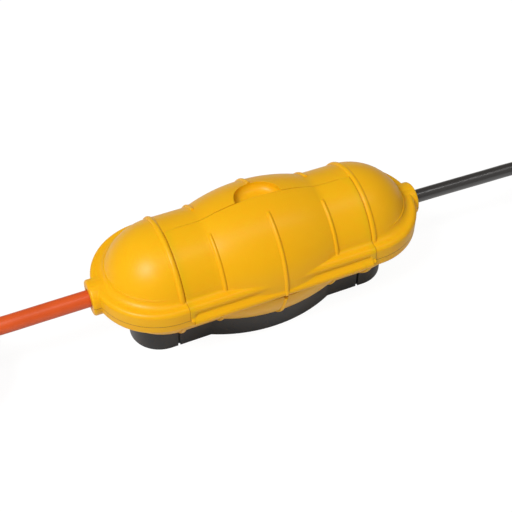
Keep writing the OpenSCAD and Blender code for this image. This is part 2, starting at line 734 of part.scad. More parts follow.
// The outer shape of a hank: a stack of long loops with round ends
module hank(x, fold_r, d, layers) {
    module loop(r) {
        for (c = x) translate([c, 0]) circle(r = r);
        translate([min(x), -r]) square([max(x) - min(x), 2 * r]);
    }
    translate([0, 0, tie_t]) linear_extrude(layers * d) difference() {
        loop(fold_r + d / 2);
        loop(fold_r - d / 2);
    }
}
// Two ties round the run of a hank where every layer lies straight on the next
tie_w = 16;
tie_gap = 0.1;
module ties(x, y, d, layers) {
    half = d / 2 + tie_gap;
    corner = 3;
    module band(grow) {
        r = corner + grow;
        for (sy = [-1, 1], z = [tie_t + corner, tie_t + layers * d + tie_gap - corner])
            translate([sy * (half - corner), z]) circle(r = r);
        translate([-half + corner, tie_t - grow]) square([2 * (half - corner), layers * d + tie_gap + 2 * grow]);
        translate([-half - grow, tie_t + corner]) square([2 * (half + grow), layers * d + tie_gap - 2 * corner]);
    }
    mid = (x[0] + x[1]) / 2;
    for (side = [-1, 1]) translate([mid + side * 40, y, 0]) extruded_x(tie_w) difference() {
        band(tie_t);
        band(0);
    }
}
module orange_cord() color("#e0663a") tube(orange_route, orange_d / 2);
module orange_hank() color("#e0663a") hank(orange_hank_x, orange_fold_r, orange_d, orange_layers);
module orange_ties() color("#1f1f21") ties(orange_hank_x, -orange_fold_r, orange_d, orange_layers);
module orange_tail() color("#e0663a") tube(orange_tail_route, orange_d / 2);
module black_cord() color("#2d2b2a") tube(black_route, black_d / 2);
module black_hank() color("#2d2b2a") hank(black_hank_x, black_fold_r, black_d, black_layers);
module black_ties() color("#1f1f21") ties(black_hank_x, black_fold_r, black_d, black_layers);
module black_tail() color("#2d2b2a") tube(black_tail_route, black_d / 2);

// The orange lead's far end is a coupler, and the black lead's far end is a plug
module orange_coupler_place() { translate([orange_end_x - 1 - coupler_back, 0, coupler_r]) children(); }
module black_plug_place() { translate([black_end_x + 1 + plug_back, 0, plug_r]) children(); }
module orange_coupler_body() color("#1f1f21") orange_coupler_place() coupler_body();
module orange_coupler_insert() color("#3a3a3c") orange_coupler_place() coupler_insert();
module orange_coupler_contacts() color("goldenrod") orange_coupler_place() coupler_contacts();
module orange_coupler_earth() color("silver") orange_coupler_place() coupler_earth();
module orange_coupler_boot() color("#1f1f21") orange_coupler_place() translate([coupler_back, 0, 0])
    boot(orange_d / 2);
module black_plug_body() color("#1f1f21") black_plug_place() plug_body();
module black_plug_nose() color("#3a3a3c") black_plug_place() plug_nose();
module black_plug_pins() color("silver") black_plug_place() plug_pins();
module black_plug_earth() color("silver") black_plug_place() plug_earth();
module black_plug_boot() color("#1f1f21") black_plug_place() translate([-plug_back, 0, 0])
    mirror([1, 0, 0]) boot(black_d / 2);

base();
base_screws();
lower_shell();
rim_seal();
lower_seal_left();
lower_seal_right();
lid();
upper_seal_left();
upper_seal_right();
hinge_pins();
latch_flap();
flap_pin();
orange_plug_body();
orange_plug_nose();
orange_plug_pins();
orange_plug_earth();
orange_plug_boot();
black_coupler_body();
black_coupler_insert();
black_coupler_contacts();
black_coupler_earth();
black_coupler_boot();
orange_cord();
orange_hank();
orange_ties();
orange_tail();
orange_coupler_body();
orange_coupler_insert();
orange_coupler_contacts();
orange_coupler_earth();
orange_coupler_boot();
black_cord();
black_hank();
black_ties();
black_tail();
black_plug_body();
black_plug_nose();
black_plug_pins();
black_plug_earth();
black_plug_boot();
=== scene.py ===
import math

import bpy
import numpy as np
from mathutils import Matrix, Vector


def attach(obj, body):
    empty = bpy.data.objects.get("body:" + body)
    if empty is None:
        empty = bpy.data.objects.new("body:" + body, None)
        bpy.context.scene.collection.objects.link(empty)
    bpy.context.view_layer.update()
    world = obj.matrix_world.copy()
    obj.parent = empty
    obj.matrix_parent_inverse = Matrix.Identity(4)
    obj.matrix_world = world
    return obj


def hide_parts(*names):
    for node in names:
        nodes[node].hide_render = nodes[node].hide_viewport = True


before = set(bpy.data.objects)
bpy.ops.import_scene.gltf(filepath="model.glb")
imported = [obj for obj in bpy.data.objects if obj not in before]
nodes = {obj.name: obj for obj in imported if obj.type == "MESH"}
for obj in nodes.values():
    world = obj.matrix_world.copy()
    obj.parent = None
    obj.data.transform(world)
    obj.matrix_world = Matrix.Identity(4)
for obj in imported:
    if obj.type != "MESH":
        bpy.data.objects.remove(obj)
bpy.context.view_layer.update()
scene = bpy.context.scene


# Camera: it looks down at the capsule from the front left, with the orange lead nearer. Its focal
# length is given in pixels of a square frame.
CAMERA_ELEVATION = math.radians(46.20)
CAMERA_AZIMUTH = math.radians(23.96)
CAMERA_ROLL = math.radians(0.28)
CAMERA_PLACE = Vector((-0.1868, -0.4183, 0.5149))
FOCAL_PIXELS = 953.5
FRAME_PIXELS = 512
SENSOR_MM = 36
NEAREST_SEEN = 0.05
FURTHEST_SEEN = 20

ahead = Vector((
    math.cos(CAMERA_ELEVATION) * math.sin(CAMERA_AZIMUTH),
    math.cos(CAMERA_ELEVATION) * math.cos(CAMERA_AZIMUTH),
    -math.sin(CAMERA_ELEVATION),
))
level_right = Vector((math.cos(CAMERA_AZIMUTH), -math.sin(CAMERA_AZIMUTH), 0))
level_up = level_right.cross(ahead)
right = level_right * math.cos(CAMERA_ROLL) + level_up * math.sin(CAMERA_ROLL)
up = level_up * math.cos(CAMERA_ROLL) - level_right * math.sin(CAMERA_ROLL)
lens = bpy.data.cameras.new("camera")
lens.sensor_width = SENSOR_MM
lens.lens = FOCAL_PIXELS / FRAME_PIXELS * SENSOR_MM
lens.clip_start = NEAREST_SEEN
lens.clip_end = FURTHEST_SEEN
camera = bpy.data.objects.new("camera", lens)
camera_turn = Matrix((right, up, -ahead)).transposed().to_4x4()
camera.matrix_world = Matrix.Translation(CAMERA_PLACE) @ camera_turn
scene.collection.objects.link(camera)
scene.camera = camera


# Studio: a wide sheet of pale paper, a large soft lamp high on the left, a weak one on the right, a
# long narrow one above for a line of light along the leads, and an even warm surround.
WHITE = (1, 1, 1, 1)
FLOOR_HALF = 4.0
PAPER = (0.72, 0.72, 0.72, 1)
FLOOR_GLOW = 1.10
GLOW_SHARE = 0.86
REFLECTED_SHARE = 0.2
SURROUND = (1, 0.92, 0.85, 1)
SURROUND_STRENGTH = 0.24
WALL_STRENGTH = 1.0
CAPSULE_MIDDLE = (0, 0, 0.05)


def new_material(name):
    """An empty node material with an output, as (material, node tree)."""
    material = bpy.data.materials.new(name)
    material.use_nodes = True
    tree = material.node_tree
    tree.nodes.clear()
    output = tree.nodes.new("ShaderNodeOutputMaterial")
    output.name = "out"
    return material, tree


def add_node(tree, kind, inputs=None, **settings):
    """A new node of that kind, with its settings and inputs. An input is a plain value, or another
    node's output, which is linked to it."""
    node = tree.nodes.new(kind)
    for setting, value in settings.items():
        setattr(node, setting, value)
    for socket, given in (inputs or {}).items():
        if isinstance(given, bpy.types.NodeSocket):
            tree.links.new(given, node.inputs[socket])
        else:
            node.inputs[socket].default_value = given
    return node


def calculated(tree, operation, *terms):
    """The result of one arithmetic step on outputs and numbers."""
    return add_node(tree, "ShaderNodeMath", dict(enumerate(terms)), operation=operation).outputs["Value"]


floor_mesh = bpy.data.meshes.new("floor")
floor_mesh.from_pydata(
    [(-FLOOR_HALF, -FLOOR_HALF, 0), (FLOOR_HALF, -FLOOR_HALF, 0), (FLOOR_HALF, FLOOR_HALF, 0),
     (-FLOOR_HALF, FLOOR_HALF, 0)], [], [(0, 1, 2, 3)])
floor = bpy.data.objects.new("floor", floor_mesh)
scene.collection.objects.link(floor)

# The paper glows white to the camera, and weakly in reflections, and is lit paper otherwise. Enough of
# the lit paper stays in what the camera sees to keep the object's soft shadow.
floor_material, tree = new_material("floor_white")
ray = add_node(tree, "ShaderNodeLightPath").outputs
reflected = calculated(tree, "MAXIMUM", ray["Is Glossy Ray"], ray["Is Transmission Ray"])
dimmed = calculated(tree, "MULTIPLY", reflected, REFLECTED_SHARE)
direct = calculated(tree, "MAXIMUM", ray["Is Camera Ray"], dimmed)
share = calculated(tree, "MULTIPLY", direct, GLOW_SHARE)
paper = add_node(tree, "ShaderNodeBsdfDiffuse", {"Color": PAPER}).outputs["BSDF"]
glow = add_node(tree, "ShaderNodeEmission", {"Color": WHITE, "Strength": FLOOR_GLOW}).outputs["Emission"]
seen = add_node(tree, "ShaderNodeMixShader", {"Fac": share, 1: paper, 2: glow}).outputs["Shader"]
tree.links.new(seen, tree.nodes["out"].inputs["Surface"])
floor.data.materials.append(floor_material)

# The surround lights the object weakly and warmly, and is plain white to the camera.
world = bpy.data.worlds.new("studio")
scene.world = world
world.use_nodes = True
tree = world.node_tree
surround = tree.nodes["Background"]
surround.inputs["Color"].default_value = SURROUND
surround.inputs["Strength"].default_value = SURROUND_STRENGTH
wall = add_node(tree, "ShaderNodeBackground", {"Color": WHITE, "Strength": WALL_STRENGTH})
ray = add_node(tree, "ShaderNodeLightPath").outputs
seen = add_node(tree, "ShaderNodeMixShader", {
    "Fac": ray["Is Camera Ray"], 1: surround.outputs["Background"], 2: wall.outputs["Background"]})
tree.links.new(seen.outputs["Shader"], tree.nodes["World Output"].inputs["Surface"])


def soft_lamp(name, place, target, size, power):
    """An area lamp of that width and height in metres and power in watts, aimed at a point."""
    lamp = bpy.data.lights.new(name, "AREA")
    lamp.shape = "RECTANGLE"
    lamp.size, lamp.size_y = size
    lamp.energy = power
    holder = bpy.data.objects.new(name, lamp)
    holder.location = place
    holder.rotation_mode = "QUATERNION"
    holder.rotation_quaternion = (Vector(target) - Vector(place)).to_track_quat("-Z", "Y")
    scene.collection.objects.link(holder)


soft_lamp("key_lamp", (-1.25, -0.55, 1.75), CAPSULE_MIDDLE, (0.7, 0.7), power=38)
soft_lamp("fill_lamp", (1.4, -1.2, 1.0), CAPSULE_MIDDLE, (1.4, 1.4), power=1)
soft_lamp("strip_lamp", (0.50, -0.42, 1.6), (0.50, 0, 0.05), (1.7, 0.2), power=5)

scene.view_settings.view_transform = "Standard"


# Lower shell: the capsule's bottom half, injection-moulded in signal-yellow polypropylene with a fine
# satin grain. It stands on the black base and carries the pins that the lid and the flap turn on.
AXIS_Y = -0.0016
AXIS_Z = 0.0491
SEAM_ABOVE_AXIS = 0.001
SEAM_HALF = 0.0002
FLAP_GAP_X = 0.0665
FLAP_GAP_HALF = 0.00028
# Painted shade: the dark colour, and how strongly it is painted, along the lid's seam with the lower shell
# and in the gaps beside the flap.
GAP_SHADE_PAINT = (0.34, 0.085, 0.002, 1)
SEAM_SHADE_PAINTED = 0.9
FLAP_GAP_SHADE_PAINTED = 0.45
SIGNAL_YELLOW = (0.87, 0.455, 0.005)
DEEP_YELLOW = (0.85, 0.425, 0.004)
EDGE_ROUNDING = 0.0005
GRAIN_DEPTH = 0.00004
LIGHT_REACH = 0.0025
CREASE_ANGLE = math.radians(28)
CORNER_JOIN = 2e-6


def clouded(tree, place, deep, colour, scale, detail, full_at, deep_to=0.3):
    """Soft clouds of noise between two close tones: the deep one where the noise is under deep_to, and
    the full colour where it is over full_at."""
    cloud = add_node(tree, "ShaderNodeTexNoise", {"Vector": place, "Scale": scale, "Detail": detail})
    tone = add_node(tree, "ShaderNodeValToRGB", {"Fac": cloud.outputs["Fac"]})
    first, last = tone.color_ramp.elements
    first.position = deep_to
    first.color = (*deep, 1)
    last.position = full_at
    last.color = (*colour, 1)
    return tone.outputs["Color"]


def between(tree, pattern, least, most):
    """A number that follows a pattern of 0 to 1 from its least to its most."""
    spread = add_node(tree, "ShaderNodeMapRange", {"Value": pattern, "To Min": least, "To Max": most})
    return spread.outputs["Result"]


def surfaced(tree, inputs):
    """The material's surface shader, joined to its output."""
    surface = add_node(tree, "ShaderNodeBsdfPrincipled", inputs)
    tree.links.new(surface.outputs["BSDF"], tree.nodes["out"].inputs["Surface"])


def painted_gap_shade(tree, place, colour):
    """The colour with shade painted into the closed capsule's thin gaps: a dark painted line where the lid
    meets the lower shell, and above it, in front only, a dark painted line on each side of the flap."""
    x, y, z = add_node(tree, "ShaderNodeSeparateXYZ", {"Vector": place}).outputs
    seam_z = AXIS_Z + SEAM_ABOVE_AXIS
    at_seam = calculated(tree, "COMPARE", z, seam_z, SEAM_HALF)
    at_gap = calculated(tree, "COMPARE", calculated(tree, "ABSOLUTE", x), FLAP_GAP_X, FLAP_GAP_HALF)
    in_front = calculated(tree, "LESS_THAN", y, AXIS_Y)
    above = calculated(tree, "GREATER_THAN", z, seam_z)
    upper_front = calculated(tree, "MULTIPLY", in_front, above)
    beside_flap = calculated(tree, "MULTIPLY", at_gap, upper_front)
    # Shade painted into the colour: strongest along the seam, weaker in the gaps beside the flap.
    seam_painted_shade = calculated(tree, "MULTIPLY", at_seam, SEAM_SHADE_PAINTED)
    flap_gap_painted_shade = calculated(tree, "MULTIPLY", beside_flap, FLAP_GAP_SHADE_PAINTED)
    painted_shade = calculated(tree, "MAXIMUM", seam_painted_shade, flap_gap_painted_shade)
    shade_painted_in = add_node(
        tree, "ShaderNodeMix", {"Factor": painted_shade, "A": colour, "B": GAP_SHADE_PAINT}, data_type="RGBA")
    return shade_painted_in.outputs["Result"]


def moulded_plastic(name, colour, deep, roughness, sheen, grain=900.0, glow_through=0.0, paint_gap_shade=False):
    """Moulded plastic or rubber: soft clouds between two close tones, a fine even grain in the bump and the
    gloss, slightly rounded edges, a little light let through where glow_through is set, and, if asked,
    shade painted into the capsule's seam and the gaps beside the flap."""
    material, tree = new_material(name)
    place = add_node(tree, "ShaderNodeTexCoord").outputs["Object"]
    shown = clouded(tree, place, deep, colour, scale=14, detail=3, full_at=0.68)
    # Shade painted into the colour along the seam and beside the flap.
    if paint_gap_shade:
        shown = painted_gap_shade(tree, place, shown)
    fine = add_node(tree, "ShaderNodeTexNoise", {
        "Vector": place, "Scale": grain, "Detail": 2}).outputs["Fac"]
    rounded = add_node(tree, "ShaderNodeBevel", {"Radius": EDGE_ROUNDING}, samples=6).outputs["Normal"]
    bump = add_node(tree, "ShaderNodeBump", {
        "Height": fine, "Strength": 0.35, "Distance": GRAIN_DEPTH, "Normal": rounded})
    surfaced(tree, {
        "Base Color": shown,
        "Roughness": between(tree, fine, roughness - 0.06, roughness + 0.06),
        "Normal": bump.outputs["Normal"],
        "Specular IOR Level": sheen,
        "Subsurface Weight": glow_through,
        "Subsurface Radius": (1.0, 0.35, 0.06),
        "Subsurface Scale": LIGHT_REACH,
    })
    return material


moulded_skin = bpy.data.node_groups.new("moulded_skin", "GeometryNodeTree")
moulded_skin.interface.new_socket("Mesh", in_out="INPUT", socket_type="NodeSocketGeometry")
moulded_skin.interface.new_socket("Mesh", in_out="OUTPUT", socket_type="NodeSocketGeometry")
loose = add_node(moulded_skin, "NodeGroupInput")
joined = add_node(moulded_skin, "GeometryNodeMergeByDistance", {
    "Geometry": loose.outputs[0], "Distance": CORNER_JOIN})
bend = add_node(moulded_skin, "GeometryNodeInputMeshEdgeAngle")
crease = add_node(
    moulded_skin, "FunctionNodeCompare", {0: bend.outputs["Unsigned Angle"], 1: CREASE_ANGLE},
    data_type="FLOAT", operation="GREATER_THAN")
shading = add_node(
    moulded_skin, "GeometryNodeSetMeshNormal",
    {"Mesh": joined.outputs["Geometry"], "Edge Sharpness": crease.outputs["Result"]}, mode="SHARPNESS")
add_node(moulded_skin, "NodeGroupOutput", {0: shading.outputs["Mesh"]})


def shade_as_moulded(piece):
    """Joins a piece's faces at their corners and shades them as one skin, with a crease only where two of
    them meet at more than the crease angle."""
    piece.modifiers.new("moulded_skin", "NODES").node_group = moulded_skin


def finish_node(name, material):
    """Gives a CAD node its material in every slot."""
    slots = nodes[name].data.materials
    if not slots:
        slots.append(material)
    for i in range(len(slots)):
        slots[i] = material


# The shells' yellow has shade painted into its seam and into the gaps beside the flap.
yellow = moulded_plastic(
    "yellow_shell", SIGNAL_YELLOW, DEEP_YELLOW, roughness=0.36, sheen=0.20, glow_through=0.25, paint_gap_shade=True)
finish_node("lower_shell", yellow)
shade_as_moulded(nodes["lower_shell"])


# Base: a waisted stand moulded in black polypropylene, with a notch under each ring rib of the shell.
# Four steel screws driven in from below hold it to the lower shell.
def metal(name, colour, roughness):
    """Drawn metal: streaks along X in the roughness."""
    material, tree = new_material(name)
    place = add_node(tree, "ShaderNodeTexCoord").outputs["Object"]
    stretched = add_node(tree, "ShaderNodeMapping", {"Vector": place, "Scale": (60, 2200, 2200)})
    streak = add_node(tree, "ShaderNodeTexNoise", {"Vector": stretched.outputs["Vector"], "Scale": 1})
    surfaced(tree, {
        "Base Color": (*colour, 1),
        "Metallic": 1,
        "Roughness": between(tree, streak.outputs["Fac"], roughness - 0.08, roughness + 0.12),
    })
    return material


base_black = moulded_plastic(
    "base_black", (0.013, 0.013, 0.014), (0.010, 0.010, 0.011), roughness=0.30, sheen=0.45)
steel = metal("steel", (0.62, 0.63, 0.65), roughness=0.3)
finish_node("base", base_black)
shade_as_moulded(nodes["base"])
finish_node("base_screws", steel)


# Seals: a soft rubber cord pressed into the groove of the lower shell's rim, and in each half collar
# one half of a split rubber bush, which grips the lead when the lid is shut.
seal = moulded_plastic(
    "seal_rubber", (0.03, 0.03, 0.032), (0.024, 0.024, 0.026), roughness=0.7, sheen=0.3, grain=500.0)
for name in nodes:
    if "seal" in name:
        finish_node(name, seal)


# Connectors: a plug and a coupler joined inside the capsule, and one of each at the leads' far ends.
# Rubber bodies and boots are moulded onto the leads round a hard plastic nose or insert, which holds
# steel pins or brass contacts, with steel earth clips at the side.
rubber = moulded_plastic(
    "connector_rubber", (0.020, 0.020, 0.022), (0.016, 0.016, 0.018), roughness=0.6, sheen=0.4, grain=500.0)
insert = moulded_plastic(
    "insert_plastic", (0.05, 0.05, 0.055), (0.042, 0.042, 0.046), roughness=0.3, sheen=0.5, grain=700.0)
brass = metal("brass", (0.75, 0.55, 0.22), roughness=0.3)
part_finish = {
    "body": rubber, "boot": rubber, "nose": insert, "insert": insert, "pins": steel, "earth": steel,
    "contacts": brass}
for name in nodes:
    connector, _, part = name.rpartition("_")
    if connector.endswith(("_plug", "_coupler")):
        finish_node(name, part_finish[part])


# Leads: two three-core outdoor leads with extruded round jackets, orange on the left and black on the
# right. Each leaves its connector inside the capsule, and is wound into a hank past its straight part.
ORANGE_DIAMETER = 0.0116
BLACK_DIAMETER = 0.0097
TIE_THICKNESS = 0.001
ORANGE_FOLD = 0.035
BLACK_FOLD = 0.036
ORANGE_HANK_X = (-0.231, -0.385)
BLACK_HANK_X = (0.272, 0.414)
ORANGE_LAPS = 3
BLACK_LAPS = 4
RUN_POINTS = 9
TURN_STEP = 15
CURVE_CUTS = 24
PATH_STEP = 0.004
LINE_DEPTH = 0.0002
MM = 0.001
orange_out = MM * np.array([
    (-40, -1.6, 49.1), (-60, -1.6, 49.1), (-90, -1.6, 49.1), (-120, -1.6, 49.1), (-150, -1.6, 49.1),
    (-176, -1.6, 49.1), (-187, -0.4, 48.4), (-197, 3.2, 47.3), (-206, 9, 46.1), (-213, 16.7, 45),
    (-220, 24.4, 44), (-229, 30.2, 42.9), (-239, 33.8, 42), (-250, 35, 41.6)])
black_out = MM * np.array([
    (42.4, -1.6, 49.1), (60, -1.6, 49.1), (90, -1.6, 49.1), (120, -1.6, 49.1), (150, -1.7, 48.5),
    (180, -2, 47.9), (208, -2.4, 47.4), (218, -3.6, 47.2), (227, -6.6, 47.2), (235, -11.6, 47.2),
    (242, -18.8, 46.5), (249, -26, 45.9), (257, -31.5, 45.3), (266, -34.8, 44.8), (276, -36, 44.6)])
orange_in = MM * np.array([
    (-231, 35, 6.8), (-242, 33.8, 7.5), (-253, 30.4, 9.3), (-263, 24.9, 11.5), (-271, 17.5, 13.8),
    (-280, 10.1, 16.2), (-290, 4.6, 18.9), (-300, 1.2, 21.3), (-311, 0, 23.2), (-323, 0, 24),
    (-346, 0, 24)])
black_in = MM * np.array([
    (272, -36, 5.9), (283, -34.8, 6.5), (293, -31.3, 8), (302, -25.6, 9.9), (309, -18, 11.8),
    (317, -10.4, 13.7), (326, -4.7, 16), (336, -1.2, 18), (347, 0, 19.5), (356, 0, 20), (379, 0, 20)])


def eased(u):
    """A smooth step: the square of u times (3 less twice u), for u from 0 to 1."""
    return u * u * (3 - 2 * u)


def hank_laps(fold_x, fold, side, diameter, laps, start_x):
    """Points of a hank: long loops round two fold centres, each loop one diameter lower than the last.
    It starts on the run at y = side * fold and comes down one layer along that run."""
    near, far = fold_x
    away = math.copysign(1, far - near)
    turn = np.radians(np.arange(TURN_STEP, 180, TURN_STEP))
    run = np.linspace(0, 1, RUN_POINTS)
    this_run = np.full(RUN_POINTS, side * fold)
    low = TIE_THICKNESS + diameter / 2
    points = []
    for lap in range(laps):
        top = low + diameter * (laps - lap)
        level = top - diameter
        run_level = np.full(RUN_POINTS, level)
        turn_level = np.full(turn.size, level)
        first = start_x if lap == 0 else near
        x = first + (far - first) * run
        u = np.clip((x - start_x) / (far - start_x), 0, 1)
        points.append(np.column_stack([x, this_run, top - diameter * eased(u)]))
        points.append(np.column_stack([
            far + away * fold * np.sin(turn), side * fold * np.cos(turn), turn_level]))
        points.append(np.column_stack([far + (near - far) * run, -this_run, run_level]))
        points.append(np.column_stack([
            near - away * fold * np.sin(turn), -side * fold * np.cos(turn), turn_level]))
    return np.concatenate(points)


def smooth_path(points, step):
    """The smooth curve through the points (a centripetal Catmull-Rom spline), cut to even steps."""
    p = np.concatenate([[2 * points[0] - points[1]], points, [2 * points[-1] - points[-2]]])
    gap = np.sqrt(np.linalg.norm(np.diff(p, axis=0), axis=1))
    t = np.concatenate([[0], np.cumsum(gap)])
    pieces = []
    for i in range(1, len(p) - 2):
        s = np.linspace(t[i], t[i + 1], CURVE_CUTS, endpoint=False)[:, None]
        a1 = ((t[i] - s) * p[i - 1] + (s - t[i - 1]) * p[i]) / (t[i] - t[i - 1])
        a2 = ((t[i + 1] - s) * p[i] + (s - t[i]) * p[i + 1]) / (t[i + 1] - t[i])
        a3 = ((t[i + 2] - s) * p[i + 1] + (s - t[i + 1]) * p[i + 2]) / (t[i + 2] - t[i + 1])
        b1 = ((t[i + 1] - s) * a1 + (s - t[i - 1]) * a2) / (t[i + 1] - t[i - 1])
        b2 = ((t[i + 2] - s) * a2 + (s - t[i]) * a3) / (t[i + 2] - t[i])
        pieces.append(((t[i + 1] - s) * b1 + (s - t[i]) * b2) / (t[i + 1] - t[i]))
    curve = np.concatenate([*pieces, points[-1:]])
    along = distance_along(curve)
    even = np.linspace(0, along[-1], max(2, round(along[-1] / step) + 1))
    return np.column_stack([np.interp(even, along, curve[:, k]) for k in range(3)])


def distance_along(path):
    """Distance of each of a path's points from its start, measured along it."""
    return np.concatenate([[0], np.cumsum(np.linalg.norm(np.diff(path, axis=0), axis=1))])


def mesh_object(name, vertices, faces):
    """A smooth-shaded mesh object from arrays of points and of faces."""
    mesh = bpy.data.meshes.new(name)
    mesh.from_pydata([tuple(v) for v in vertices.tolist()], [], [tuple(f) for f in faces])
    mesh.polygons.foreach_set("use_smooth", np.full(len(mesh.polygons), True))
    mesh.update()
    piece = bpy.data.objects.new(name, mesh)
    scene.collection.objects.link(piece)
    return piece


def tube_along(name, path, radius, around=20):
    """A round tube: a circle of that radius carried square to the path, closed by a face at each end.
    Its UV map runs along the tube in metres and once round it."""
    count = len(path)
    tangent = np.gradient(path, axis=0)
    tangent /= np.linalg.norm(tangent, axis=1)[:, None]
    side = np.cross([0, 0, 1.0], tangent)
    side /= np.linalg.norm(side, axis=1)[:, None]
    top = np.cross(tangent, side)
    angle = np.linspace(0, 2 * math.pi, around, endpoint=False)
    ring = np.cos(angle)[None, :, None] * side[:, None] + np.sin(angle)[None, :, None] * top[:, None]
    vertices = (path[:, None] + radius * ring).reshape(-1, 3)
    i, k = np.meshgrid(np.arange(count - 1), np.arange(around), indexing="ij")
    this, after = i * around + k, i * around + (k + 1) % around
    quads = np.stack([this, after, after + around, this + around], -1).reshape(-1, 4)
    ends = [tuple(range(around - 1, -1, -1)), tuple((count - 1) * around + np.arange(around))]
    piece = mesh_object(name, vertices, quads.tolist() + ends)
    uv = piece.data.uv_layers.new(name="jacket")
    u = distance_along(path)[np.stack([i, i, i + 1, i + 1], -1).reshape(-1)]
    v = np.stack([k, k + 1, k + 1, k], -1).reshape(-1) / around
    corners = np.zeros((u.size + 2 * around, 2))
    corners[: u.size] = np.column_stack([u, v])
    uv.data.foreach_set("uv", corners.ravel())
    return piece


def jacket_material(name, colour, deep, roughness, sheen, coat):
    """Extruded flexible PVC: an even colour with faint cloudiness, fine drawn lines along the lead and a
    satin surface."""
    material, tree = new_material(name)
    on_jacket = add_node(tree, "ShaderNodeUVMap", uv_map="jacket").outputs["UV"]
    stretched = add_node(tree, "ShaderNodeMapping", {"Vector": on_jacket, "Scale": (30, 40, 1)})
    lines = add_node(tree, "ShaderNodeTexNoise", {
        "Vector": stretched.outputs["Vector"], "Scale": 2, "Detail": 3}).outputs["Fac"]
    bump = add_node(tree, "ShaderNodeBump", {"Height": lines, "Strength": 0.12, "Distance": LINE_DEPTH})
    place = add_node(tree, "ShaderNodeTexCoord").outputs["Object"]
    surfaced(tree, {
        "Base Color": clouded(tree, place, deep, colour, scale=60, detail=2, full_at=0.6),
        "Roughness": between(tree, lines, roughness - 0.05, roughness + 0.07),
        "Normal": bump.outputs["Normal"],
        "Specular IOR Level": sheen,
        "Coat Weight": coat,
        "Coat Roughness": roughness,
        "Coat IOR": 1.7,
    })
    return material


orange_jacket = jacket_material(
    "orange_jacket", (0.69, 0.092, 0.011), (0.63, 0.080, 0.009), roughness=0.37, sheen=0.5, coat=0.0)
orange_laps = hank_laps(ORANGE_HANK_X, ORANGE_FOLD, 1, ORANGE_DIAMETER, ORANGE_LAPS, orange_out[-1, 0])
orange_path = smooth_path(np.concatenate([orange_out[:-1], orange_laps, orange_in]), PATH_STEP)
orange_lead = tube_along("orange_lead", orange_path, ORANGE_DIAMETER / 2)
orange_lead.data.materials.append(orange_jacket)
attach(orange_lead, "shell")
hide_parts("orange_cord", "orange_hank", "orange_tail")

black_jacket = jacket_material(
    "black_jacket", (0.012, 0.012, 0.012), (0.009, 0.009, 0.009), roughness=0.31, sheen=1.0, coat=0.35)
black_laps = hank_laps(BLACK_HANK_X, BLACK_FOLD, -1, BLACK_DIAMETER, BLACK_LAPS, black_out[-1, 0])
black_path = smooth_path(np.concatenate([black_out[:-1], black_laps, black_in]), PATH_STEP)
black_lead = tube_along("black_lead", black_path, BLACK_DIAMETER / 2)
black_lead.data.materials.append(black_jacket)
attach(black_lead, "shell")
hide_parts("black_cord", "black_hank", "black_tail")


# Ties: two bands of black woven hook-and-loop tape round each hank, a millimetre thick, wrapped tight
# and pressed shut on themselves.
WEAVE_DEPTH = 0.0003


def hook_and_loop(name, colour, deep):
    """Woven tape with loops: two crossed wave patterns for the weave, bent by fine noise and multiplied
    together, in colour and in relief."""
    material, tree = new_material(name)
    place = add_node(tree, "ShaderNodeTexCoord").outputs["Object"]
    across, along = (
        add_node(tree, "ShaderNodeTexWave", {
            "Vector": place, "Scale": 260, "Distortion": 2.5, "Detail": 2, "Detail Scale": 3,
        }, bands_direction=axis).outputs["Fac"]
        for axis in ("X", "Z"))
    weave = calculated(tree, "MULTIPLY", across, along)
    tone = add_node(
        tree, "ShaderNodeMix", {"Factor": weave, "A": (*deep, 1), "B": (*colour, 1)}, data_type="RGBA")
    bump = add_node(tree, "ShaderNodeBump", {"Height": weave, "Strength": 0.8, "Distance": WEAVE_DEPTH})
    surfaced(tree, {
        "Base Color": tone.outputs["Result"],
        "Roughness": 0.85,
        "Normal": bump.outputs["Normal"],
        "Specular IOR Level": 0.2,
        "Sheen Weight": 0.3,
    })
    return material


tie_tape = hook_and_loop("tie_tape", (0.030, 0.030, 0.032), (0.008, 0.008, 0.009))
finish_node("orange_ties", tie_tape)
finish_node("black_ties", tie_tape)


# Lid: the capsule's top half, moulded in the same yellow, with a recess in front for the flap. Its
# knuckles turn on two plain steel pins in the lower shell's rear.
finish_node("lid", yellow)
shade_as_moulded(nodes["lid"])
finish_node("hinge_pins", steel)


# Latch flap: a moulded yellow skin over the lid's front quarter, 2 mm thick. It laps over the lid's
# edges at the ring ribs, carries three ribs, and its lower edge is a lip rolled round a steel hinge pin.

# The capsule's body, as the shell and the lid have it.
BARREL_R = 0.0393
BELLY_R = 0.0464
BELLY_HALF = 0.041
BLEND_R = 0.018

# The lid's edge under the flap, outwards from the leads' axis and up from it, and its opening.
FLANGE_OUT = 0.045
BEAD_CENTRE = (0.0418, 0.0078)
BEAD_R = 0.0032
FILLET_CENTRE = (0.0412, 0.0168)
FILLET_R = 0.0058
OPENING_HALF = 0.064
OPENING_CORNER = 0.0064
OPENING_REAR = 0.0004
OPENING_BORDER = 0.0005

# The flap's skin, and its lap over the lid.
FLAP_HALF = 0.0662
FLAP_CORNER = 0.003
FLAP_WALL = 0.002
FLAP_BACK = 0.0424
FLAP_PROUD = 0.0003
SKIN_RISE = 0.00036
LAP_AIR = 0.00007
LAP_WALL = 0.00032
THINNEST_WALL = 0.00004
TOP_EDGE_DROP = (0.0003, 0.00008)
SIDE_EDGE_DROP = (0.00022, 0.00005)

# The flap's pin, the lip rolled round it, and the room in the lip's ends for the shell's two ears,
# which hold the pin.
PIN_OUT = 0.0446
PIN_UP = -0.0005
LIP_R = 0.00332
EAR_R = 0.0023
EAR_FROM = 0.0579
STEP_WIDTH = 0.00004
BLEND_SOFTNESS = 0.0004

# The ribs, of which the middle one is carried round the lip.
RIBS_X = np.array([-0.0399, 0, 0.0403])
RIB_WIDTH = 0.0027
RIB_REACH = 0.0019
RIB_HEIGHT = 0.0012
RIB_ROUNDNESS = 0.62
LIP_RIB_HEIGHT = 0.0006

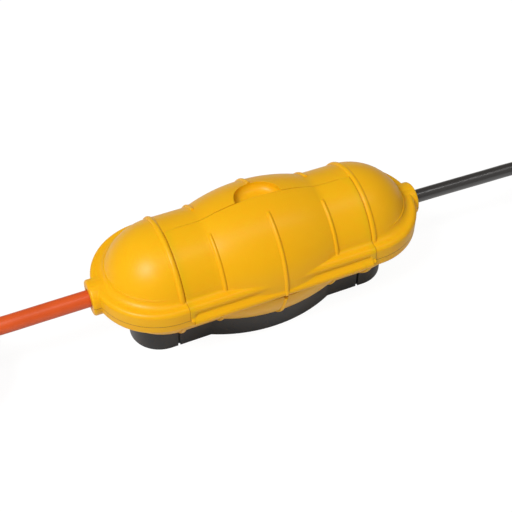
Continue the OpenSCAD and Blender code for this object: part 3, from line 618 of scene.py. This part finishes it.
# Directions on the flap, in degrees above the level through the leads' axis.
PIN_TURN = math.degrees(math.atan2(PIN_UP, PIN_OUT))
LOWEST_ROW = -4.62
LIP_LOW = -4.60
EAR_LOW = -3.3
LAP_LOW = 1.5
BLEND_FROM = 0.6
LIP_END = 4
SPREAD_TO = 6
EDGE_END = 24
FINE_END = 26
RISE_FADE_FROM = 55
RIB_HEAD = 70
RIB_HEAD_SPAN = 3.2
CROWN_FROM = 80
TOP = 90


def body_radius(x):
    """Outer radius of the capsule's body at x: a long belly arc, a hollow blend and a straight barrel."""
    sag = BELLY_R - BARREL_R
    arc = (BELLY_HALF ** 2 + sag ** 2) / (2 * sag)
    end = math.sqrt((arc + BLEND_R) ** 2 - (arc + BLEND_R - sag) ** 2)
    turn = end * arc / (arc + BLEND_R)
    across = np.abs(x)
    belly = BELLY_R - arc + np.sqrt(arc ** 2 - np.minimum(across, turn) ** 2)
    blend = BARREL_R + BLEND_R - np.sqrt(BLEND_R ** 2 - (end - np.clip(across, turn, end)) ** 2)
    return np.where(across < turn, belly, np.where(across < end, blend, BARREL_R))


def arc_points(centre, radius, start, stop, count):
    """Points of an arc, from one angle in degrees to another."""
    turn = np.radians(np.linspace(start, stop, count))
    return np.column_stack([centre[0] + radius * np.cos(turn), centre[1] + radius * np.sin(turn)])


def radius_at(angle, outline):
    """Distance from the leads' axis to an outline of (outwards, up) points, in a direction given as an
    angle above the level."""
    direction = np.arctan2(outline[:, 1], outline[:, 0])
    order = np.argsort(direction)
    return np.interp(angle, direction[order], np.hypot(outline[:, 0], outline[:, 1])[order])


def chord(angle, radius, side):
    """Distance from the leads' axis to the near (-1) or far (1) side of a circle round the flap's pin,
    and where that direction meets the circle at all."""
    away = math.hypot(PIN_OUT, PIN_UP)
    off = angle - math.atan2(PIN_UP, PIN_OUT)
    half = np.sqrt(np.maximum(radius ** 2 - (away * np.sin(off)) ** 2, 0))
    return away * np.cos(off) + side * half, np.abs(away * np.sin(off)) < radius


def dome(offset, half_width):
    """A rounded bump across a rib: 1 at its middle, falling with the square of the offset to 0 at its
    sides."""
    return np.maximum(1 - (offset / half_width) ** 2, 0)


# Outlines across the capsule, as distances outwards from the leads' axis and up from it: the lid's
# flange, bead and fillet; the flap's lip, hollow, bead and fillet over them; and the flap's back.
lid_edge = np.concatenate([
    [(FLANGE_OUT, -0.002)],
    arc_points(BEAD_CENTRE, BEAD_R, 0, 90, 12),
    arc_points(FILLET_CENTRE, FILLET_R, 270, 192, 12)])
hollow = [
    (0.0475, 0.0012), (0.0470, 0.0017), (0.0463, 0.0024), (0.0456, 0.0031), (0.0450, 0.0038),
    (0.0447, 0.0044), (0.0447, 0.0050), (0.0449, 0.0058), (0.0452, 0.0067)]
flap_edge = np.concatenate([
    arc_points((PIN_OUT, PIN_UP), LIP_R, -89, 24, 26),
    hollow,
    arc_points(BEAD_CENTRE, BEAD_R + FLAP_PROUD, 0, 90, 12),
    arc_points(FILLET_CENTRE, FILLET_R - FLAP_PROUD, 270, 192, 12)])
flap_back = np.array([
    (FLAP_BACK, -0.004), (FLAP_BACK, 0.0078), (0.0402, 0.009), (0.0394, 0.0094), (0.0349, 0.015),
    (0.0338, 0.0175)])

# The skin is a grid: columns along X, closer together at each rib, ear and side, and rows of angle
# round the leads' axis, closer together at the lip and the hollow.
sides_x = np.concatenate([
    [EAR_FROM, EAR_FROM - STEP_WIDTH, OPENING_HALF - 0.0001, OPENING_HALF + STEP_WIDTH],
    FLAP_HALF - np.array([0.0016, 0.0010, 0.0006, 0.0003, 0.0001])])
column_x = np.unique(np.round(np.concatenate([
    np.linspace(-FLAP_HALF, FLAP_HALF, 101),
    (RIBS_X[:, None] + np.linspace(-RIB_REACH, RIB_REACH, 21)).ravel(),
    -sides_x, sides_x]), 6))
row = np.concatenate([
    np.linspace(LOWEST_ROW, SPREAD_TO, 56, endpoint=False),
    np.linspace(SPREAD_TO, FINE_END, 60, endpoint=False),
    np.linspace(FINE_END, CROWN_FROM, 50, endpoint=False),
    np.linspace(CROWN_FROM, 89, 9), [89.4, 89.75, TOP]])

# The lowest row ends at the lip, above the shell's ears, or on the lid's edge beside them, and the top
# row comes down in an arc at each end, which rounds the flap's upper corners.
is_ear = np.abs(column_x) > EAR_FROM - STEP_WIDTH / 2
low_angle = np.where(np.abs(column_x) > OPENING_HALF, LAP_LOW, np.where(is_ear, EAR_LOW, LIP_LOW))
into_corner = np.clip((np.abs(column_x) - (FLAP_HALF - FLAP_CORNER)) / FLAP_CORNER, 0, 1)
corner_drop = FLAP_CORNER * (1 - np.sqrt(1 - into_corner ** 2))
top_angle = np.degrees(np.arccos(corner_drop / (body_radius(column_x) + SKIN_RISE)))
low_scale = (SPREAD_TO - low_angle[:, None]) / (SPREAD_TO - LOWEST_ROW)
top_scale = (top_angle[:, None] - CROWN_FROM) / (TOP - CROWN_FROM)
low_rows = SPREAD_TO - (SPREAD_TO - row) * low_scale
top_rows = CROWN_FROM + (row - CROWN_FROM) * top_scale
turn = np.where(row < SPREAD_TO, low_rows, np.where(row > CROWN_FROM, top_rows, row))
angle = np.radians(turn)
x = np.repeat(column_x[:, None], row.size, 1)

# Outside radius: the body's own radius and a small rise that fades towards the belly's top, the ribs
# on it, and below them a soft larger-of-two with the lip, hollow and bead.
fade = eased(np.clip((turn - RISE_FADE_FROM) / (TOP - RISE_FADE_FROM), 0, 1))
swell = (body_radius(x) - BARREL_R) / (BELLY_R - BARREL_R)
skin = body_radius(x) + SKIN_RISE * (1 - fade * swell)
rib = dome(x[..., None] - RIBS_X, RIB_WIDTH / 2).max(-1) ** RIB_ROUNDNESS
head = np.clip((RIB_HEAD + RIB_HEAD_SPAN / 2 - turn) / RIB_HEAD_SPAN, 0, 1)
ribbed = skin + RIB_HEIGHT * rib * np.sqrt(head * (2 - head))
edge = radius_at(angle, flap_edge) + LIP_RIB_HEIGHT * dome(x, RIB_WIDTH / 2) * (turn < LIP_END)
larger = (ribbed + edge + np.hypot(ribbed - edge, BLEND_SOFTNESS)) / 2
outer = np.where(turn > EDGE_END, ribbed, np.where(turn > BLEND_FROM, larger, edge))

# Inside radius: the wall behind the skin, the flap's back behind the lip, the near side of the rolled
# lip below that, and at the shell's ears the far side of the room round them.
inner = skin - FLAP_WALL
inner = np.where(turn < EDGE_END, np.maximum(inner, radius_at(angle, flap_back)), inner)
near, crossing = chord(angle, LIP_R, -1)
lip_back = np.where(turn < PIN_TURN, near, np.minimum(near, FLAP_BACK / np.cos(angle)))
inner = np.where(crossing & (turn < LIP_END), lip_back, inner)
far, crossing = chord(angle, EAR_R, 1)
inner = np.where(is_ear[:, None] & crossing, far, inner)

# Beyond the lid's opening, which has rounded corners, the skin thins to a lap that lies on the lid.
past_side = np.maximum(np.abs(x) - (OPENING_HALF - OPENING_CORNER), 0)
past_rear = np.maximum(OPENING_CORNER - OPENING_REAR - outer * np.cos(angle), 0)
over_lid = (np.hypot(past_side, past_rear) > OPENING_CORNER - OPENING_BORDER) & (past_side > 0)
lid_radius = np.maximum(body_radius(x), np.where(turn < EDGE_END, radius_at(angle, lid_edge), 0))
inner = np.where(over_lid, lid_radius + LAP_AIR, inner)
outer = np.where(over_lid, np.maximum(outer, inner + LAP_WALL), outer)

# The top and side edges are drawn in over their last two rows and columns.
for i, (top_drop, side_drop) in enumerate(zip(TOP_EDGE_DROP, SIDE_EDGE_DROP)):
    outer[:, -1 - i] -= top_drop
    outer[[i, -1 - i]] -= side_drop
outer = np.maximum(outer, inner + THINNEST_WALL)


def polar_points(radius):
    """Points at a radius from the leads' axis, in the direction of each angle, at each x."""
    forward = radius * np.cos(angle)
    upward = radius * np.sin(angle)
    return np.stack([x, AXIS_Y - forward, AXIS_Z + upward], -1).reshape(-1, 3)


# Its faces: one for each cell of the grid outside and inside, and a band round the rim that joins them.
columns, rows = x.shape
cell = (np.arange(columns - 1)[:, None] * rows + np.arange(rows - 1)).ravel()
outside = np.column_stack([cell, cell + rows, cell + rows + 1, cell + 1])
inside = outside[:, ::-1] + columns * rows
rim = np.concatenate([
    np.arange(columns) * rows, (columns - 1) * rows + np.arange(1, rows),
    np.arange(columns - 2, -1, -1) * rows + rows - 1, np.arange(rows - 2, 0, -1)])
after = np.roll(rim, -1)
band = np.column_stack([rim, rim + columns * rows, after + columns * rows, after])
flap_skin = mesh_object(
    "flap_skin", np.concatenate([polar_points(outer), polar_points(inner)]),
    np.concatenate([outside, inside, band]).tolist())
flap_yellow = moulded_plastic(
    "yellow_flap", SIGNAL_YELLOW, DEEP_YELLOW, roughness=0.36, sheen=0.20, glow_through=0.25)
flap_skin.data.materials.append(flap_yellow)
shade_as_moulded(flap_skin)
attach(flap_skin, "flap")
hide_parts("latch_flap")
finish_node("flap_pin", steel)
